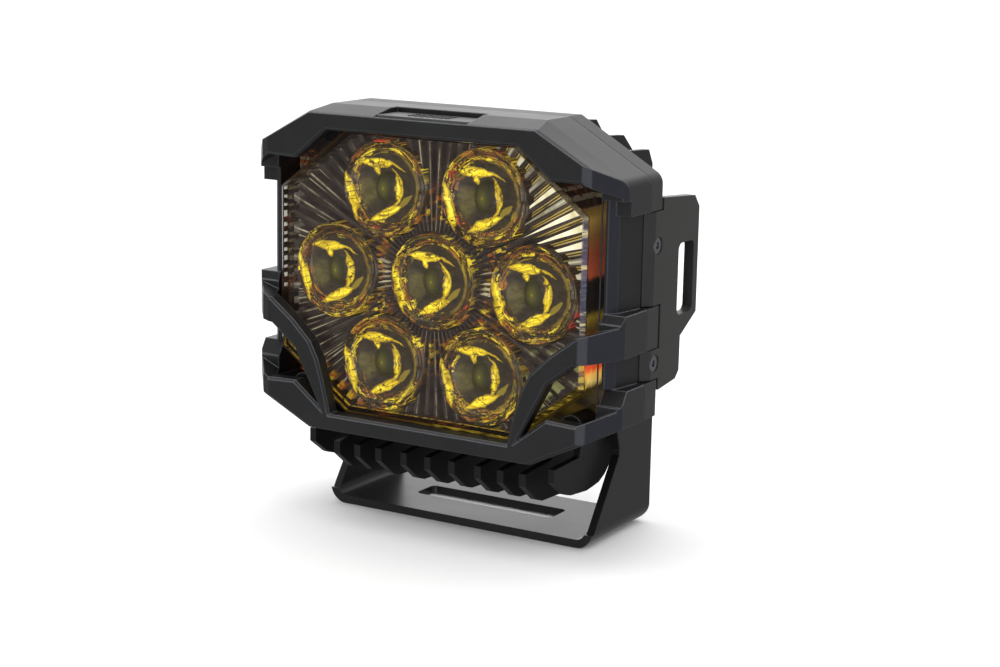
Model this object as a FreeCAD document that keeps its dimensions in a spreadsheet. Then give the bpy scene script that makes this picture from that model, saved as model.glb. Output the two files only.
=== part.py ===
import FreeCAD, Part
import math
import os
import Sketcher

# Fog light: a die-cast lamp with an amber lens in a front guard, held by a U-shaped foot bracket.
# Millimetres. X runs across the lamp, -Y is the way it shines, +Z is up.
# Every sub-part is drawn from the guard's front plane (y = 0) and the underside of the foot (z = 0).
# Its Placement then moves it back by front_offset, so the row's origin is under the middle of the lamp.

Vector = FreeCAD.Vector
doc = FreeCAD.newDocument("FogLight")

# ---------------------------------------------------------------- driving dimensions

DIMENSIONS = {
    # overall
    "half_width": 63.5,
    "top_height": 128.5,
    "front_offset": 31.2,
    "body_middle": 78.3,
    # outline of guard and housing
    "outline_top_corner": 36.7,
    "outline_upper_corner": 112.8,
    "outline_lower_corner": 42.6,
    "outline_bottom": 30.0,
    "outline_bottom_corner": 38.5,
    # front guard
    "seam": 23.4,
    "face_half_width": 53.6,
    "bevel_half_width": 56.2,
    "bevel_depth": 1.1,
    "slant_depth": 10.0,
    "face_thickness": 4.5,
    "guard_bore_half_width": 56.2,
    "recess_half_width": 61.4,
    "ridge_half_width": 59.4,
    "ridge_depth": 12.5,
    "wall_front": 10.2,
    "window_depth": 8.4,
    "band_upper": 103.2,
    "claw_top": 75.2,
    "claw_front_top": 72.6,
    "claw_bottom": 62.9,
    "bar_top": 53.3,
    "bar_front_top": 48.9,
    "boss_radius": 3.6,
    "shoulder_radius": 4.0,
    "seam_groove": 0.35,
    # lens
    "lens_front": 4.9,
    "lens_half_width": 52.7,
    "lens_top": 122.0,
    "lens_bottom": 35.4,
    "lens_thickness": 1.8,
    "lens_wall": 1.8,
    "flange_front": 19.6,
    "flange_thickness": 2.0,
    # optics
    "optic_radius": 14.6,
    "optic_front": 8.5,
    "optic_depth": 15.7,
    "optic_pitch": 34.3,
    "optic_row": 26.45,
    "optic_hole_radius": 15.0,
    # boards
    "reflector_front": 9.2,
    "reflector_depth": 5.2,
    "rib_depth": 2.4,
    "board_front": 25.6,
    "board_thickness": 1.6,
    "pad_thickness": 0.4,
    "spreader_thickness": 1.8,
    "driver_half_width": 26.0,
    "driver_front": 32.0,
    # housing and heat sink
    "cavity_half_width": 50.5,
    "housing_rear": 31.7,
    "rear_radius": 1.6,
    "block_half_width": 43.3,
    "block_rear": 37.4,
    "fin_thickness": 2.1,
    "fin_rear": 53.4,
    "pivot_depth": 47.7,
    "pivot_height": 81.0,
    "pivot_boss_radius": 9.5,
    "pivot_boss_half_width": 44.3,
    "lug_inner": 33.85,
    "lug_outer": 41.15,
    # ears
    "ear_thickness": 3.2,
    "ear_slot_width": 10.4,
    "ear_slot_length": 21.4,
    # foot bracket
    "sheet": 2.5,
    "bracket_half_width": 47.1,
    "bracket_front": 24.5,
    "bracket_rear": 62.4,
    "bend_radius": 5.5,
    "base_slot_width": 10.4,
    "base_slot_length": 49.4,
    "base_slot_middle": 44.8,
    "pivot_hole_radius": 4.05,
    "pivot_bolt_radius": 4.0,
    "arm_lobe_radius": 11.5,
    # small screws
    "guard_screw_radius": 2.0,
    "ear_screw_radius": 1.5,
    "ear_recess_radius": 2.6,
    "ear_notch": 31.8,
    "ear_front": 23.6,
    "cable_radius": 3.25,
}

sheet = doc.addObject("Spreadsheet::Sheet", "dims")
for row, (alias, value) in enumerate(DIMENSIONS.items(), start=1):
    sheet.set("A%d" % row, alias)
    sheet.set("B%d" % row, str(value))
    sheet.setAlias("B%d" % row, alias)
doc.recompute()


class Dim:
    """A length with its number now and the sheet expression that drives it."""

    def __init__(self, value, text):
        self.value = float(value)
        self.text = text

    def join(self, other, sign, value):
        return Dim(value, "(%s %s %s)" % (self.text, sign, text_of(other)))

    def __add__(self, other):
        return self.join(other, "+", self.value + number(other))

    def __radd__(self, other):
        return self.join(other, "+", self.value + number(other))

    def __sub__(self, other):
        return self.join(other, "-", self.value - number(other))

    def __rsub__(self, other):
        return Dim(number(other) - self.value, "(%s - %s)" % (text_of(other), self.text))

    def __mul__(self, other):
        return self.join(other, "*", self.value * number(other))

    def __rmul__(self, other):
        return self.join(other, "*", self.value * number(other))

    def __truediv__(self, other):
        return self.join(other, "/", self.value / number(other))

    def __neg__(self):
        return Dim(-self.value, "(0 - %s)" % self.text)


def number(item):
    return item.value if isinstance(item, Dim) else float(item)


def text_of(item):
    return item.text if isinstance(item, Dim) else "%.6f" % float(item)


def dim(alias):
    return Dim(DIMENSIONS[alias], "dims.%s" % alias)


def tie(target, path, item):
    """Set a property from a number, or bind it to the sheet."""
    target.setExpression(path, text_of(item))


# ---------------------------------------------------------------- sketch and feature helpers

ROLES = {"X": "YZ_Plane", "Y": "XZ_Plane", "Z": "XY_Plane"}
# The XZ plane's normal points along -Y, the other two along their positive axis.
NORMAL_SIGN = {"X": 1.0, "Y": -1.0, "Z": 1.0}


def new_body(label, x=0.0, z=0.0):
    body = doc.addObject("PartDesign::Body", label)
    body.Label = label
    tie(body, "Placement.Base.x", x)
    tie(body, "Placement.Base.y", -dim("front_offset"))
    tie(body, "Placement.Base.z", z)
    return body


def origin_plane(body, axis):
    for feature in body.Origin.OriginFeatures:
        if feature.Role == ROLES[axis]:
            return feature
    raise RuntimeError("no origin plane for " + axis)


def pin_point(sketch, geometry, position, point):
    """Hold one sketch point at its coordinates, tied to the sheet where they come from it."""
    for kind, axis, item in (("DistanceX", -2, point[0]), ("DistanceY", -1, point[1])):
        if not isinstance(item, Dim) and abs(item) < 1e-9:
            sketch.addConstraint(Sketcher.Constraint("PointOnObject", geometry, position, axis))
            continue
        index = sketch.addConstraint(
            Sketcher.Constraint(kind, -1, 1, geometry, position, number(item)))
        if isinstance(item, Dim):
            sketch.setExpression("Constraints[%d]" % index, item.text)


def draw_polygon(sketch, points):
    first = sketch.GeometryCount
    count = len(points)
    corners = [Vector(number(x), number(y), 0) for x, y in points]
    lines = [Part.LineSegment(corners[i], corners[(i + 1) % count]) for i in range(count)]
    sketch.addGeometry(lines, False)
    joins = []
    for i in range(count):
        joins.append(Sketcher.Constraint("Coincident", first + i, 2, first + (i + 1) % count, 1))
    sketch.addConstraint(joins)
    for i, point in enumerate(points):
        pin_point(sketch, first + i, 1, point)


def draw_circle(sketch, centre, radius):
    middle = Vector(number(centre[0]), number(centre[1]), 0)
    index = sketch.addGeometry(Part.Circle(middle, Vector(0, 0, 1), number(radius)), False)
    pin_point(sketch, index, 3, centre)
    size = sketch.addConstraint(Sketcher.Constraint("Radius", index, number(radius)))
    if isinstance(radius, Dim):
        sketch.setExpression("Constraints[%d]" % size, radius.text)


def add_sketch(body, axis, at, loops):
    """Sketch across an axis, at a distance along it. A loop is a point list or (centre, radius)."""
    sketch = body.newObject("Sketcher::SketchObject", "Sketch")
    sketch.AttachmentSupport = [(origin_plane(body, axis), "")]
    sketch.MapMode = "FlatFace"
    tie(sketch, "AttachmentOffset.Base.z", at * NORMAL_SIGN[axis])
    for loop in loops:
        if isinstance(loop, tuple):
            draw_circle(sketch, loop[0], loop[1])
        else:
            draw_polygon(sketch, loop)
    sketch.Visibility = False
    return sketch


def pad(body, axis, at, length, loops):
    """Add material from the sketch towards the positive end of the axis."""
    feature = body.newObject("PartDesign::Pad", "Pad")
    feature.Profile = add_sketch(body, axis, at, loops)
    tie(feature, "Length", length)
    feature.Reversed = NORMAL_SIGN[axis] < 0
    body.Tip = feature
    doc.recompute()
    return feature


def pocket(body, axis, at, length, loops):
    """Cut from the sketch towards the positive end of the axis, and check that it did cut."""
    before = body.Shape.Volume
    feature = body.newObject("PartDesign::Pocket", "Pocket")
    feature.Profile = add_sketch(body, axis, at, loops)
    tie(feature, "Length", length)
    feature.Reversed = NORMAL_SIGN[axis] > 0
    body.Tip = feature
    doc.recompute()
    if body.Shape.Volume > before - 0.01:
        raise RuntimeError("pocket removed nothing in " + body.Label)
    return feature


def loft(body, kind, axis, sections):
    """Ruled loft through (distance, point list) sections, added or subtracted."""
    sketches = [add_sketch(body, axis, at, [points]) for at, points in sections]
    feature = body.newObject("PartDesign::" + kind, "Loft")
    feature.Profile = sketches[0]
    feature.Sections = sketches[1:]
    feature.Ruled = True
    body.Tip = feature
    doc.recompute()
    return feature


def dress(body, kind, size, picks):
    """Fillet or chamfer the edges that the picks function accepts."""
    tip = body.Tip
    names = []
    for index, edge in enumerate(tip.Shape.Edges, start=1):
        if picks(edge):
            names.append("Edge%d" % index)
    if not names:
        raise RuntimeError("no edges to dress in " + body.Label)
    feature = body.newObject("PartDesign::" + kind, kind)
    feature.Base = (tip, names)
    tie(feature, "Radius" if kind == "Fillet" else "Size", size)
    body.Tip = feature
    doc.recompute()
    return feature


def cut(base, tool):
    result = doc.addObject("Part::Cut", "Cut")
    result.Base = base
    result.Tool = tool
    return result


def spans(edge, axis, low, high):
    """True when the edge lies within low..high on the axis."""
    box = edge.BoundBox
    lows = {"X": box.XMin, "Y": box.YMin, "Z": box.ZMin}
    highs = {"X": box.XMax, "Y": box.YMax, "Z": box.ZMax}
    return lows[axis] > low and highs[axis] < high


def runs_along(edge, axis):
    box = edge.BoundBox
    sizes = {"X": box.XLength, "Y": box.YLength, "Z": box.ZLength}
    return all(size < 1e-4 for name, size in sizes.items() if name != axis) and sizes[axis] > 1e-3


def mirrored(points):
    """Right-hand half of a closed outline, listed top to bottom, joined to its mirror image."""
    left = [(-x, z) for x, z in reversed(points)]
    return list(points) + left


class Octagon:
    """Eight-sided outline that is the same on the left and right."""

    def __init__(self, half_width, top, top_corner, upper_corner, lower_corner, bottom_corner, bottom):
        self.half_width = half_width
        self.top = top
        self.top_corner = top_corner
        self.upper_corner = upper_corner
        self.lower_corner = lower_corner
        self.bottom_corner = bottom_corner
        self.bottom = bottom

    def points(self):
        right = [
            (self.top_corner, self.top),
            (self.half_width, self.upper_corner),
            (self.half_width, self.lower_corner),
            (self.bottom_corner, self.bottom),
        ]
        return mirrored(right)

    def inset(self, distance):
        """The same outline moved in by a distance, or out if it is negative."""
        wide = number(self.half_width)
        upper = math.atan2(number(self.top) - number(self.upper_corner), wide - number(self.top_corner))
        lower = math.atan2(number(self.lower_corner) - number(self.bottom), wide - number(self.bottom_corner))
        return Octagon(
            self.half_width - distance,
            self.top - distance,
            self.top_corner - distance * math.tan(upper / 2),
            self.upper_corner - distance * math.tan((math.pi / 2 - upper) / 2),
            self.lower_corner + distance * math.tan((math.pi / 2 - lower) / 2),
            self.bottom_corner - distance * math.tan(lower / 2),
            self.bottom + distance)


def rectangle(x_low, x_high, y_low, y_high):
    return [(x_low, y_low), (x_high, y_low), (x_high, y_high), (x_low, y_high)]


# ---------------------------------------------------------------- shared outlines

OUTLINE = Octagon(
    dim("half_width"), dim("top_height"), dim("outline_top_corner"), dim("outline_upper_corner"),
    dim("outline_lower_corner"), dim("outline_bottom_corner"), dim("outline_bottom"))

LENS_OUTLINE = Octagon(
    dim("lens_half_width"), dim("lens_top"), 28.5, 102.8, 53.2, 29.0, dim("lens_bottom"))

# The guard is hollow inside this outline.
GUARD_BORE = Octagon(dim("guard_bore_half_width"), dim("top_height") - 3.6, 36.0, 112.8, 42.8, 37.6, 33.2)

# Centres of the four screws that hold the guard, lens flange and housing together.
GUARD_SCREWS = [(37.5, 120.3), (-37.5, 120.3), (47.2, 41.0), (-47.2, 41.0)]

# Centres of the two screws in each ear, as depth and height.
EAR_SCREWS = [(29.0, 92.8), (29.0, 58.3)]

# ---------------------------------------------------------------- front guard

face = [
    (38.3, 126.4),
    (dim("face_half_width"), 118.0),
    (dim("face_half_width"), 38.1),
    (38.5, 30.7),
]
bevel = [
    (38.8, 126.7),
    (dim("bevel_half_width"), 117.0),
    (dim("bevel_half_width"), 39.0),
    (38.8, 30.5),
]
guard = new_body("front_guard")
loft(guard, "AdditiveLoft", "Y", [
    (Dim(0.0, "0"), mirrored(face)),
    (dim("bevel_depth"), mirrored(bevel)),
    (dim("slant_depth"), OUTLINE.points()),
])
pad(guard, "Y", dim("slant_depth"), dim("seam") - dim("slant_depth"), [OUTLINE.points()])

# Hollow behind the face, following the slanted sides.
throat = GUARD_BORE.inset(2.6)
loft(guard, "SubtractiveLoft", "Y", [
    (dim("face_thickness"), throat.points()),
    (dim("slant_depth") - 0.5, GUARD_BORE.points()),
])
pocket(guard, "Y", dim("slant_depth") - 0.6, 20.0, [GUARD_BORE.points()])

# Screw bosses on the inside of the walls, each with a web. They press on the lens flange.
boss_front = dim("window_depth") + 1.2
for x, z in GUARD_SCREWS:
    outward = 5.0 if z > 80.0 else -5.0
    web = rectangle(x - 2.4, x + 2.4, min(z, z + outward), max(z, z + outward))
    pad(guard, "Y", boss_front, dim("flange_front") - boss_front, [((x, z), dim("boss_radius"))])
    pad(guard, "Y", boss_front, dim("flange_front") - boss_front, [web])

# Main window between the arch, the claws and the bottom bar, open to the sides.
beyond = dim("half_width") + 1.0
main_window = [
    (32.5, 121.5),
    (43.6, 112.5),
    (dim("face_half_width"), 112.8),
    (beyond, 107.4),
    (beyond, dim("claw_front_top")),
    (52.5, 69.2),
    (44.6, 63.3),
    (38.2, 57.2),
    (35.4, 51.8),
    (33.3, 45.0),
    (31.0, 35.6),
]
pocket(guard, "Y", Dim(-1.0, "-1"), dim("window_depth") + 1.0, [mirrored(main_window)])

# Small windows between each claw and the bottom bar.
side_window = [
    (beyond, dim("claw_bottom")),
    (52.9, 61.6),
    (48.0, 57.8),
    (43.9, 54.7),
    (42.3, 51.4),
    (38.8, 44.8),
    (35.2, 37.9),
    (43.8, 44.5),
    (dim("face_half_width"), 44.1),
    (beyond, dim("bar_front_top")),
]
pocket(guard, "Y", Dim(-1.0, "-1"), dim("window_depth") + 1.0,
       [side_window, [(-x, z) for x, z in side_window]])

# Recessed side walls between the bands, with a slanted front edge.
recess_inner = dim("guard_bore_half_width") - 0.3
recess = [
    (recess_inner, dim("window_depth") - 0.1),
    (recess_inner, dim("wall_front")),
    (dim("guard_bore_half_width") + 0.8, dim("wall_front")),
    (dim("ridge_half_width"), dim("ridge_depth")),
    (dim("recess_half_width"), dim("seam") + 1.0),
    (beyond, dim("seam") + 1.0),
    (beyond, dim("window_depth") - 0.1),
]
for low, high in ((dim("claw_top"), dim("band_upper")), (dim("bar_top"), dim("claw_bottom"))):
    pocket(guard, "Z", low, high - low, [recess, [(-x, y) for x, y in recess]])

# The same recess runs on under the upper claws, up to their lower edge.
under_claw = [
    (recess_inner, dim("window_depth") - 0.1),
    (recess_inner, dim("wall_front")),
    (dim("guard_bore_half_width") + 0.8, dim("wall_front")),
    (dim("ridge_half_width") - 0.8, dim("ridge_depth") - 0.9),
    (beyond, dim("ridge_depth") - 0.9),
    (beyond, dim("window_depth") - 0.1),
]
pocket(guard, "Z", dim("band_upper") - 0.1, Dim(4.5, "4.5"), [under_claw, [(-x, y) for x, y in under_claw]])

# Sloping shoulders where the fingers rise to the taller bands.
mid_shoulder = [
    (dim("window_depth") - 0.1, dim("claw_front_top")),
    (dim("window_depth") + 0.5, dim("claw_front_top")),
    (dim("window_depth") + 1.6, dim("claw_top") + 0.1),
    (dim("window_depth") - 0.1, dim("claw_top") + 0.1),
]
low_shoulder = [
    (dim("window_depth") - 0.1, dim("bar_front_top")),
    (dim("window_depth") + 0.9, dim("bar_front_top")),
    (dim("window_depth") + 3.6, dim("bar_top") + 0.1),
    (dim("window_depth") - 0.1, dim("bar_top") + 0.1),
]
shoulder_width = beyond - recess_inner
pocket(guard, "X", recess_inner, shoulder_width, [mid_shoulder, low_shoulder])
pocket(guard, "X", -beyond, shoulder_width, [mid_shoulder, low_shoulder])

# Flat-bottomed notch in the middle of the arch for the badge.
pocket(guard, "Z", Dim(126.4, "126.4"), 5.0, [rectangle(-16.0, 16.0, -1.0, 13.5)])

# Blind screw holes in the bosses, opening at the lens flange.
pocket(guard, "Y", dim("flange_front") - 8.6, 9.0,
       [(centre, dim("guard_screw_radius") + 0.05) for centre in GUARD_SCREWS])

# Rounded shoulders, and a fine groove along the seam with the housing.
def shoulder(edge):
    """Long edges where the upper slopes meet the sides."""
    return runs_along(edge, "Y") and abs(edge.CenterOfMass.x) > 63.0 and edge.CenterOfMass.z > 110.0


def seam_edge(edge):
    """Outer edges at the seam, outside the hollow."""
    middle = edge.CenterOfMass
    x = abs(middle.x)
    level = x > 61.0 or middle.z > 127.0 or middle.z < 31.5
    sloping = x * 0.5055 + middle.z * 0.8629 > 128.0 or x * 0.45 - middle.z * 0.893 > -11.0
    return spans(edge, "Y", number(dim("seam")) - 0.01, number(dim("seam")) + 0.01) and (level or sloping)


dress(guard, "Fillet", dim("shoulder_radius"), shoulder)
dress(guard, "Chamfer", dim("seam_groove"), seam_edge)

# Light-catching bevel round the windows and along the face.
dress(guard, "Chamfer", 0.7, lambda edge: spans(edge, "Y", -0.01, 0.01)
      and abs(edge.CenterOfMass.x) < 53.0 and 31.5 < edge.CenterOfMass.z < 122.0)

# ---------------------------------------------------------------- badge plate

badge = new_body("badge_plate")
pad(badge, "Z", Dim(126.4, "126.4"), 0.6, [rectangle(-15.7, 15.7, 2.4, 13.2)])
studs = []
for column in range(-3, 4):
    for line in range(3):
        middle = (column * 2.1, 5.8 + line * 2.2)
        studs.append(rectangle(middle[0] - 0.6, middle[0] + 0.6, middle[1] - 0.6, middle[1] + 0.6))
pad(badge, "Z", Dim(126.9, "126.9"), 0.35, studs)

# ---------------------------------------------------------------- lens and its gasket

lens = new_body("lens")
loft(lens, "AdditiveLoft", "Y", [
    (dim("lens_front"), LENS_OUTLINE.inset(1.3).points()),
    (dim("lens_front") + 1.2, LENS_OUTLINE.points()),
])
pad(lens, "Y", dim("lens_front") + 1.2, dim("flange_front") - dim("lens_front"), [LENS_OUTLINE.points()])
pad(lens, "Y", dim("flange_front"), dim("flange_thickness"), [GUARD_BORE.inset(0.5).points()])
pocket(lens, "Y", dim("lens_front") + dim("lens_thickness"), 20.0,
       [LENS_OUTLINE.inset(dim("lens_wall")).points()])
pocket(lens, "Y", dim("flange_front") - 1.0, 5.0, [(centre, 2.3) for centre in GUARD_SCREWS])

gasket = new_body("lens_gasket")
gasket_front = dim("flange_front") + dim("flange_thickness")
pad(gasket, "Y", gasket_front, dim("seam") - gasket_front, [
    LENS_OUTLINE.inset(-1.0).points(),
    LENS_OUTLINE.inset(1.8).points(),
])

# ---------------------------------------------------------------- housing

housing = new_body("housing")
pad(housing, "Y", dim("seam"), dim("housing_rear") - dim("seam"), [OUTLINE.points()])
dress(housing, "Fillet", dim("shoulder_radius"), shoulder)
dress(housing, "Fillet", dim("rear_radius"), lambda edge: spans(
    edge, "Y", number(dim("housing_rear")) - 0.01, number(dim("housing_rear")) + 0.01))

# Central block behind, narrow enough to sit between the bracket's arms.
block = Octagon(
    dim("block_half_width"), dim("top_height") - 7.5, 34.0, 116.0,
    41.0, 35.0, dim("outline_bottom") + 4.0)
pad(housing, "Y", dim("housing_rear") - 0.5, dim("block_rear") - dim("housing_rear") + 0.5, [block.points()])

# Pivot lugs on the block, in the gap between two fins on each side. Their round ends pass through
# the side fins and stop just short of the bracket's arms.
pivot = (dim("pivot_depth"), dim("pivot_height"))
boss_length = dim("pivot_boss_half_width") - dim("lug_inner")
lug = rectangle(
    dim("block_rear") - 0.3, pivot[0],
    pivot[1] - dim("pivot_boss_radius"), pivot[1] + dim("pivot_boss_radius"))
lug_width = dim("lug_outer") - dim("lug_inner")
pad(housing, "X", dim("lug_inner"), lug_width, [lug])
pad(housing, "X", -dim("lug_outer"), lug_width, [lug])
pad(housing, "X", dim("lug_inner"), boss_length, [(pivot, dim("pivot_boss_radius"))])
pad(housing, "X", -dim("pivot_boss_half_width"), boss_length, [(pivot, dim("pivot_boss_radius"))])

# Front cavity for the boards, and a deeper pocket for the driver.
spreader_rear = dim("board_front") + dim("board_thickness") + dim("pad_thickness") + dim("spreader_thickness")
cavity = LENS_OUTLINE.inset(dim("lens_half_width") - dim("cavity_half_width"))
pocket(housing, "Y", dim("seam") - 1.0, spreader_rear - dim("seam") + 1.0, [cavity.points()])
driver_wide = dim("driver_half_width") + 0.6
pocket(housing, "Y", spreader_rear - 0.1, dim("driver_front") + 2.4 - spreader_rear, [
    rectangle(-driver_wide, driver_wide, dim("body_middle") - driver_wide, dim("body_middle") + driver_wide)])

# Ramped side recesses and seats for the ears between the bands.
seat = dim("half_width") - dim("ear_thickness")
for low, high in ((dim("claw_top"), dim("band_upper")), (dim("bar_top"), dim("claw_bottom"))):
    side_cut = rectangle(seat, beyond, dim("seam") - 0.5, dim("housing_rear") + 1.0)
    pocket(housing, "Z", low, high - low, [side_cut, [(-x, y) for x, y in side_cut]])

# Through holes and head recesses for the guard screws, and tapped holes for the ear screws.
pocket(housing, "Y", dim("seam") - 1.0, 12.0, [(centre, 2.25) for centre in GUARD_SCREWS])
pocket(housing, "Y", dim("housing_rear") - 4.2, 5.0, [(centre, 3.75) for centre in GUARD_SCREWS])
pocket(housing, "X", seat - 8.0, 11.0, [(centre, dim("ear_screw_radius") + 0.05) for centre in EAR_SCREWS])
pocket(housing, "X", -seat - 3.0, 11.0, [(centre, dim("ear_screw_radius") + 0.05) for centre in EAR_SCREWS])

# Tapped blind holes for the pivot bolts.
pocket(housing, "X", dim("pivot_boss_half_width") - 10.0, 11.0, [(pivot, dim("pivot_bolt_radius") + 0.05)])
pocket(housing, "X", -dim("pivot_boss_half_width") - 1.0, 11.0, [(pivot, dim("pivot_bolt_radius") + 0.05)])

# Holes through the wall for the cable gland and the breather.
CABLE = (13.05, 50.0)
VENT = (-13.05, 50.0)
pocket(housing, "Y", dim("housing_rear") - 3.0, 12.0, [(CABLE, 6.05), (VENT, 4.05)])

# ---------------------------------------------------------------- cooling fins

# Fins pressed onto the back of the housing, cut to its shape. The inner ones run forward under the
# guard, with pointed ends.
tail = dim("fin_rear")
root = dim("housing_rear") - 0.6
inner_fin = [
    (7.1, 25.4),
    (7.1, 21.6),
    (14.2, 16.1),
    (17.5, 15.0),
    (31.0, 14.4),
    (39.5, 17.5),
    (tail, 31.0),
    (tail, 115.0),
    (tail - 2.9, 120.4),
    (45.2, 125.6),
    (root, 126.2),
    (root, 120.0),
    (dim("block_rear") - 0.6, 120.0),
    (dim("block_rear") - 0.6, 35.0),
    (root, 35.0),
    (root, 31.0),
    (24.0, 31.0),
    (22.6, 26.4),
]
outer_fin = [
    (7.6, 28.1),
    (7.6, 24.0),
    (14.7, 19.0),
    (17.8, 18.1),
    (27.7, 17.2),
    (35.3, 18.1),
    (39.0, 19.8),
    (tail, 33.0),
    (tail, 112.0),
    (tail - 2.9, 117.0),
    (44.8, 121.7),
    (root, 122.6),
    (root, 115.0),
    (dim("block_rear") - 0.6, 115.0),
    (dim("block_rear") - 0.6, 42.0),
    (root, 42.0),
    (root, 34.0),
    (24.0, 34.0),
    (22.4, 28.5),
]
upper_fin = [
    (root, 100.0),
    (44.0, 104.0),
    (47.4, 110.0),
    (47.4, 113.8),
    (44.8, 118.1),
    (root, 118.9),
]
fin_half = dim("fin_thickness") / 2


def fin_set(label, profile, middles, holes):
    """Equal fins across the back, with round clearances along Y, then cut where they meet the housing."""
    blanks = new_body(label + "_blanks")
    blanks.AllowCompound = True
    for middle in middles:
        pad(blanks, "X", middle - fin_half, dim("fin_thickness"), [profile])
    for axis, at, length, loops in holes:
        pocket(blanks, axis, at, length, loops)
    fins = cut(blanks, housing)
    fins.Label = label
    return fins


gland_clearance = ("Y", dim("block_rear") - 1.0, 20.0, [(CABLE, 9.0), (VENT, 7.5)])
lug_clearance = ("X", -50.0 + fin_half, 100.0, [(pivot, dim("pivot_boss_radius") + 0.3)])
centre_fins = fin_set(
    "centre_fins", inner_fin, (-32.8, -25.3, -17.6, -8.5, 0.0, 8.5, 17.6, 25.3, 32.8), [gland_clearance])
side_fins = fin_set("side_fins", outer_fin, (-42.2, 42.2), [lug_clearance])
corner_fins = fin_set("corner_fins", upper_fin, (-50.6, 50.6), [])

# ---------------------------------------------------------------- optics and reflector

pitch = dim("optic_pitch")
row_step = dim("optic_row")
middle_height = dim("body_middle")
OPTICS = {
    "optic_centre": (Dim(0.0, "0"), middle_height),
    "optic_left": (-pitch, middle_height),
    "optic_right": (pitch, middle_height),
    "optic_top_left": (-pitch / 2, middle_height + row_step),
    "optic_top_right": (pitch / 2, middle_height + row_step),
    "optic_bottom_left": (-pitch / 2, middle_height - row_step),
    "optic_bottom_right": (pitch / 2, middle_height - row_step),
}
FACETS = 12


def ring(radius, twist=0.0):
    """Regular polygon about the sketch origin, for the faceted optics."""
    points = []
    for step in range(FACETS):
        angle = 2 * math.pi * (step + twist) / FACETS
        points.append((radius * math.cos(angle), radius * math.sin(angle)))
    return points


def optic(label, x, z):
    """Faceted collimator: a stepped bowl with a round lens standing in its middle."""
    body = new_body(label, x, z)
    front = dim("optic_front")
    rear = front + dim("optic_depth")
    radius = dim("optic_radius")
    loft(body, "AdditiveLoft", "Y", [
        (front, ring(radius)),
        (front + 7.0, ring(radius * 0.83)),
        (rear, ring(radius * 0.42)),
    ])
    loft(body, "SubtractiveLoft", "Y", [
        (front - 0.01, ring(radius - 0.9)),
        (front + 4.5, ring(radius * 0.72)),
        (front + 9.0, ring(radius * 0.46)),
    ])
    pad(body, "Y", front + 4.0, 5.5, [((0.0, 0.0), radius * 0.36)])
    pocket(body, "Y", rear - 2.0, 3.0, [((0.0, 0.0), 3.2)])
    return body


optics = [optic(label, x, z) for label, (x, z) in OPTICS.items()]

# Sunburst plate round the optics: ribs run out from its middle, cut by a polar pattern of grooves.
reflector = new_body("reflector_plate", 0.0, middle_height)


def lowered(points):
    """Outline points measured from the plate's middle instead of the floor."""
    return [(x, z - middle_height) for x, z in points]


reflector_outline = LENS_OUTLINE.inset(dim("lens_wall") + 0.5)
pad(reflector, "Y", dim("reflector_front"), dim("reflector_depth"), [lowered(reflector_outline.points())])
rib_count = 72
half_angle = math.radians(360.0 / rib_count) * 0.27
groove_points = [
    (9.0, -9.0 * math.tan(half_angle)),
    (80.0, -80.0 * math.tan(half_angle)),
    (80.0, 80.0 * math.tan(half_angle)),
    (9.0, 9.0 * math.tan(half_angle)),
]
groove = pocket(reflector, "Y", dim("reflector_front") - 1.0, dim("rib_depth") + 1.0, [groove_points])
fan = reflector.newObject("PartDesign::PolarPattern", "RibPattern")
fan.Originals = [groove]
fan.Axis = (groove.Profile[0], ["N_Axis"])
fan.Angle = 360.0
fan.Occurrences = rib_count
reflector.Tip = fan
doc.recompute()
holes = [((x, z - middle_height), dim("optic_hole_radius")) for x, z in OPTICS.values()]
pocket(reflector, "Y", dim("reflector_front") - 2.0, 12.0, holes)

# Wall behind the plate's rim that carries it on the circuit board.
skirt_rear = dim("board_front") - dim("reflector_front") - dim("reflector_depth")
pad(reflector, "Y", dim("reflector_front") + dim("reflector_depth") - 0.2, skirt_rear + 0.2, [
    lowered(LENS_OUTLINE.inset(3.1).points()),
    lowered(LENS_OUTLINE.inset(3.8).points()),
])

# ---------------------------------------------------------------- boards, pad and spreader

board_outline = LENS_OUTLINE.inset(2.6)
BOARD_SCREWS = [(0.0, 45.5), (0.0, 111.0), (-33.0, 99.0), (33.0, 99.0), (-33.0, 57.6), (33.0, 57.6)]


def plate(label, front, thickness, outline, hole_radius):
    body = new_body(label)
    pad(body, "Y", front, thickness, [outline.points()])
    pocket(body, "Y", front - 1.0, 10.0, [(centre, hole_radius) for centre in BOARD_SCREWS])
    return body


board = plate("led_board", dim("board_front"), dim("board_thickness"), board_outline, 1.7)
pad_front = dim("board_front") + dim("board_thickness")
thermal_pad = plate("thermal_pad", pad_front, dim("pad_thickness"), board_outline.inset(1.0), 2.2)
spreader_front = pad_front + dim("pad_thickness")
spreader = plate("heat_spreader", spreader_front, dim("spreader_thickness"), board_outline, 1.55)

driver = new_body("driver_board")
pad(driver, "Y", dim("driver_front"), Dim(1.6, "1.6"), [rectangle(
    -dim("driver_half_width"), dim("driver_half_width"),
    middle_height - dim("driver_half_width"), middle_height + dim("driver_half_width"))])
pad(driver, "Y", dim("driver_front") - 1.5, Dim(1.6, "1.6"), [
    rectangle(-20.0, -8.0, 84.0, 96.0),
    rectangle(4.0, 12.0, 62.0, 70.0),
    rectangle(-18.0, -12.0, 62.0, 72.0),
    rectangle(6.0, 20.0, 86.0, 93.0),
])

# ---------------------------------------------------------------- ears

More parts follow.
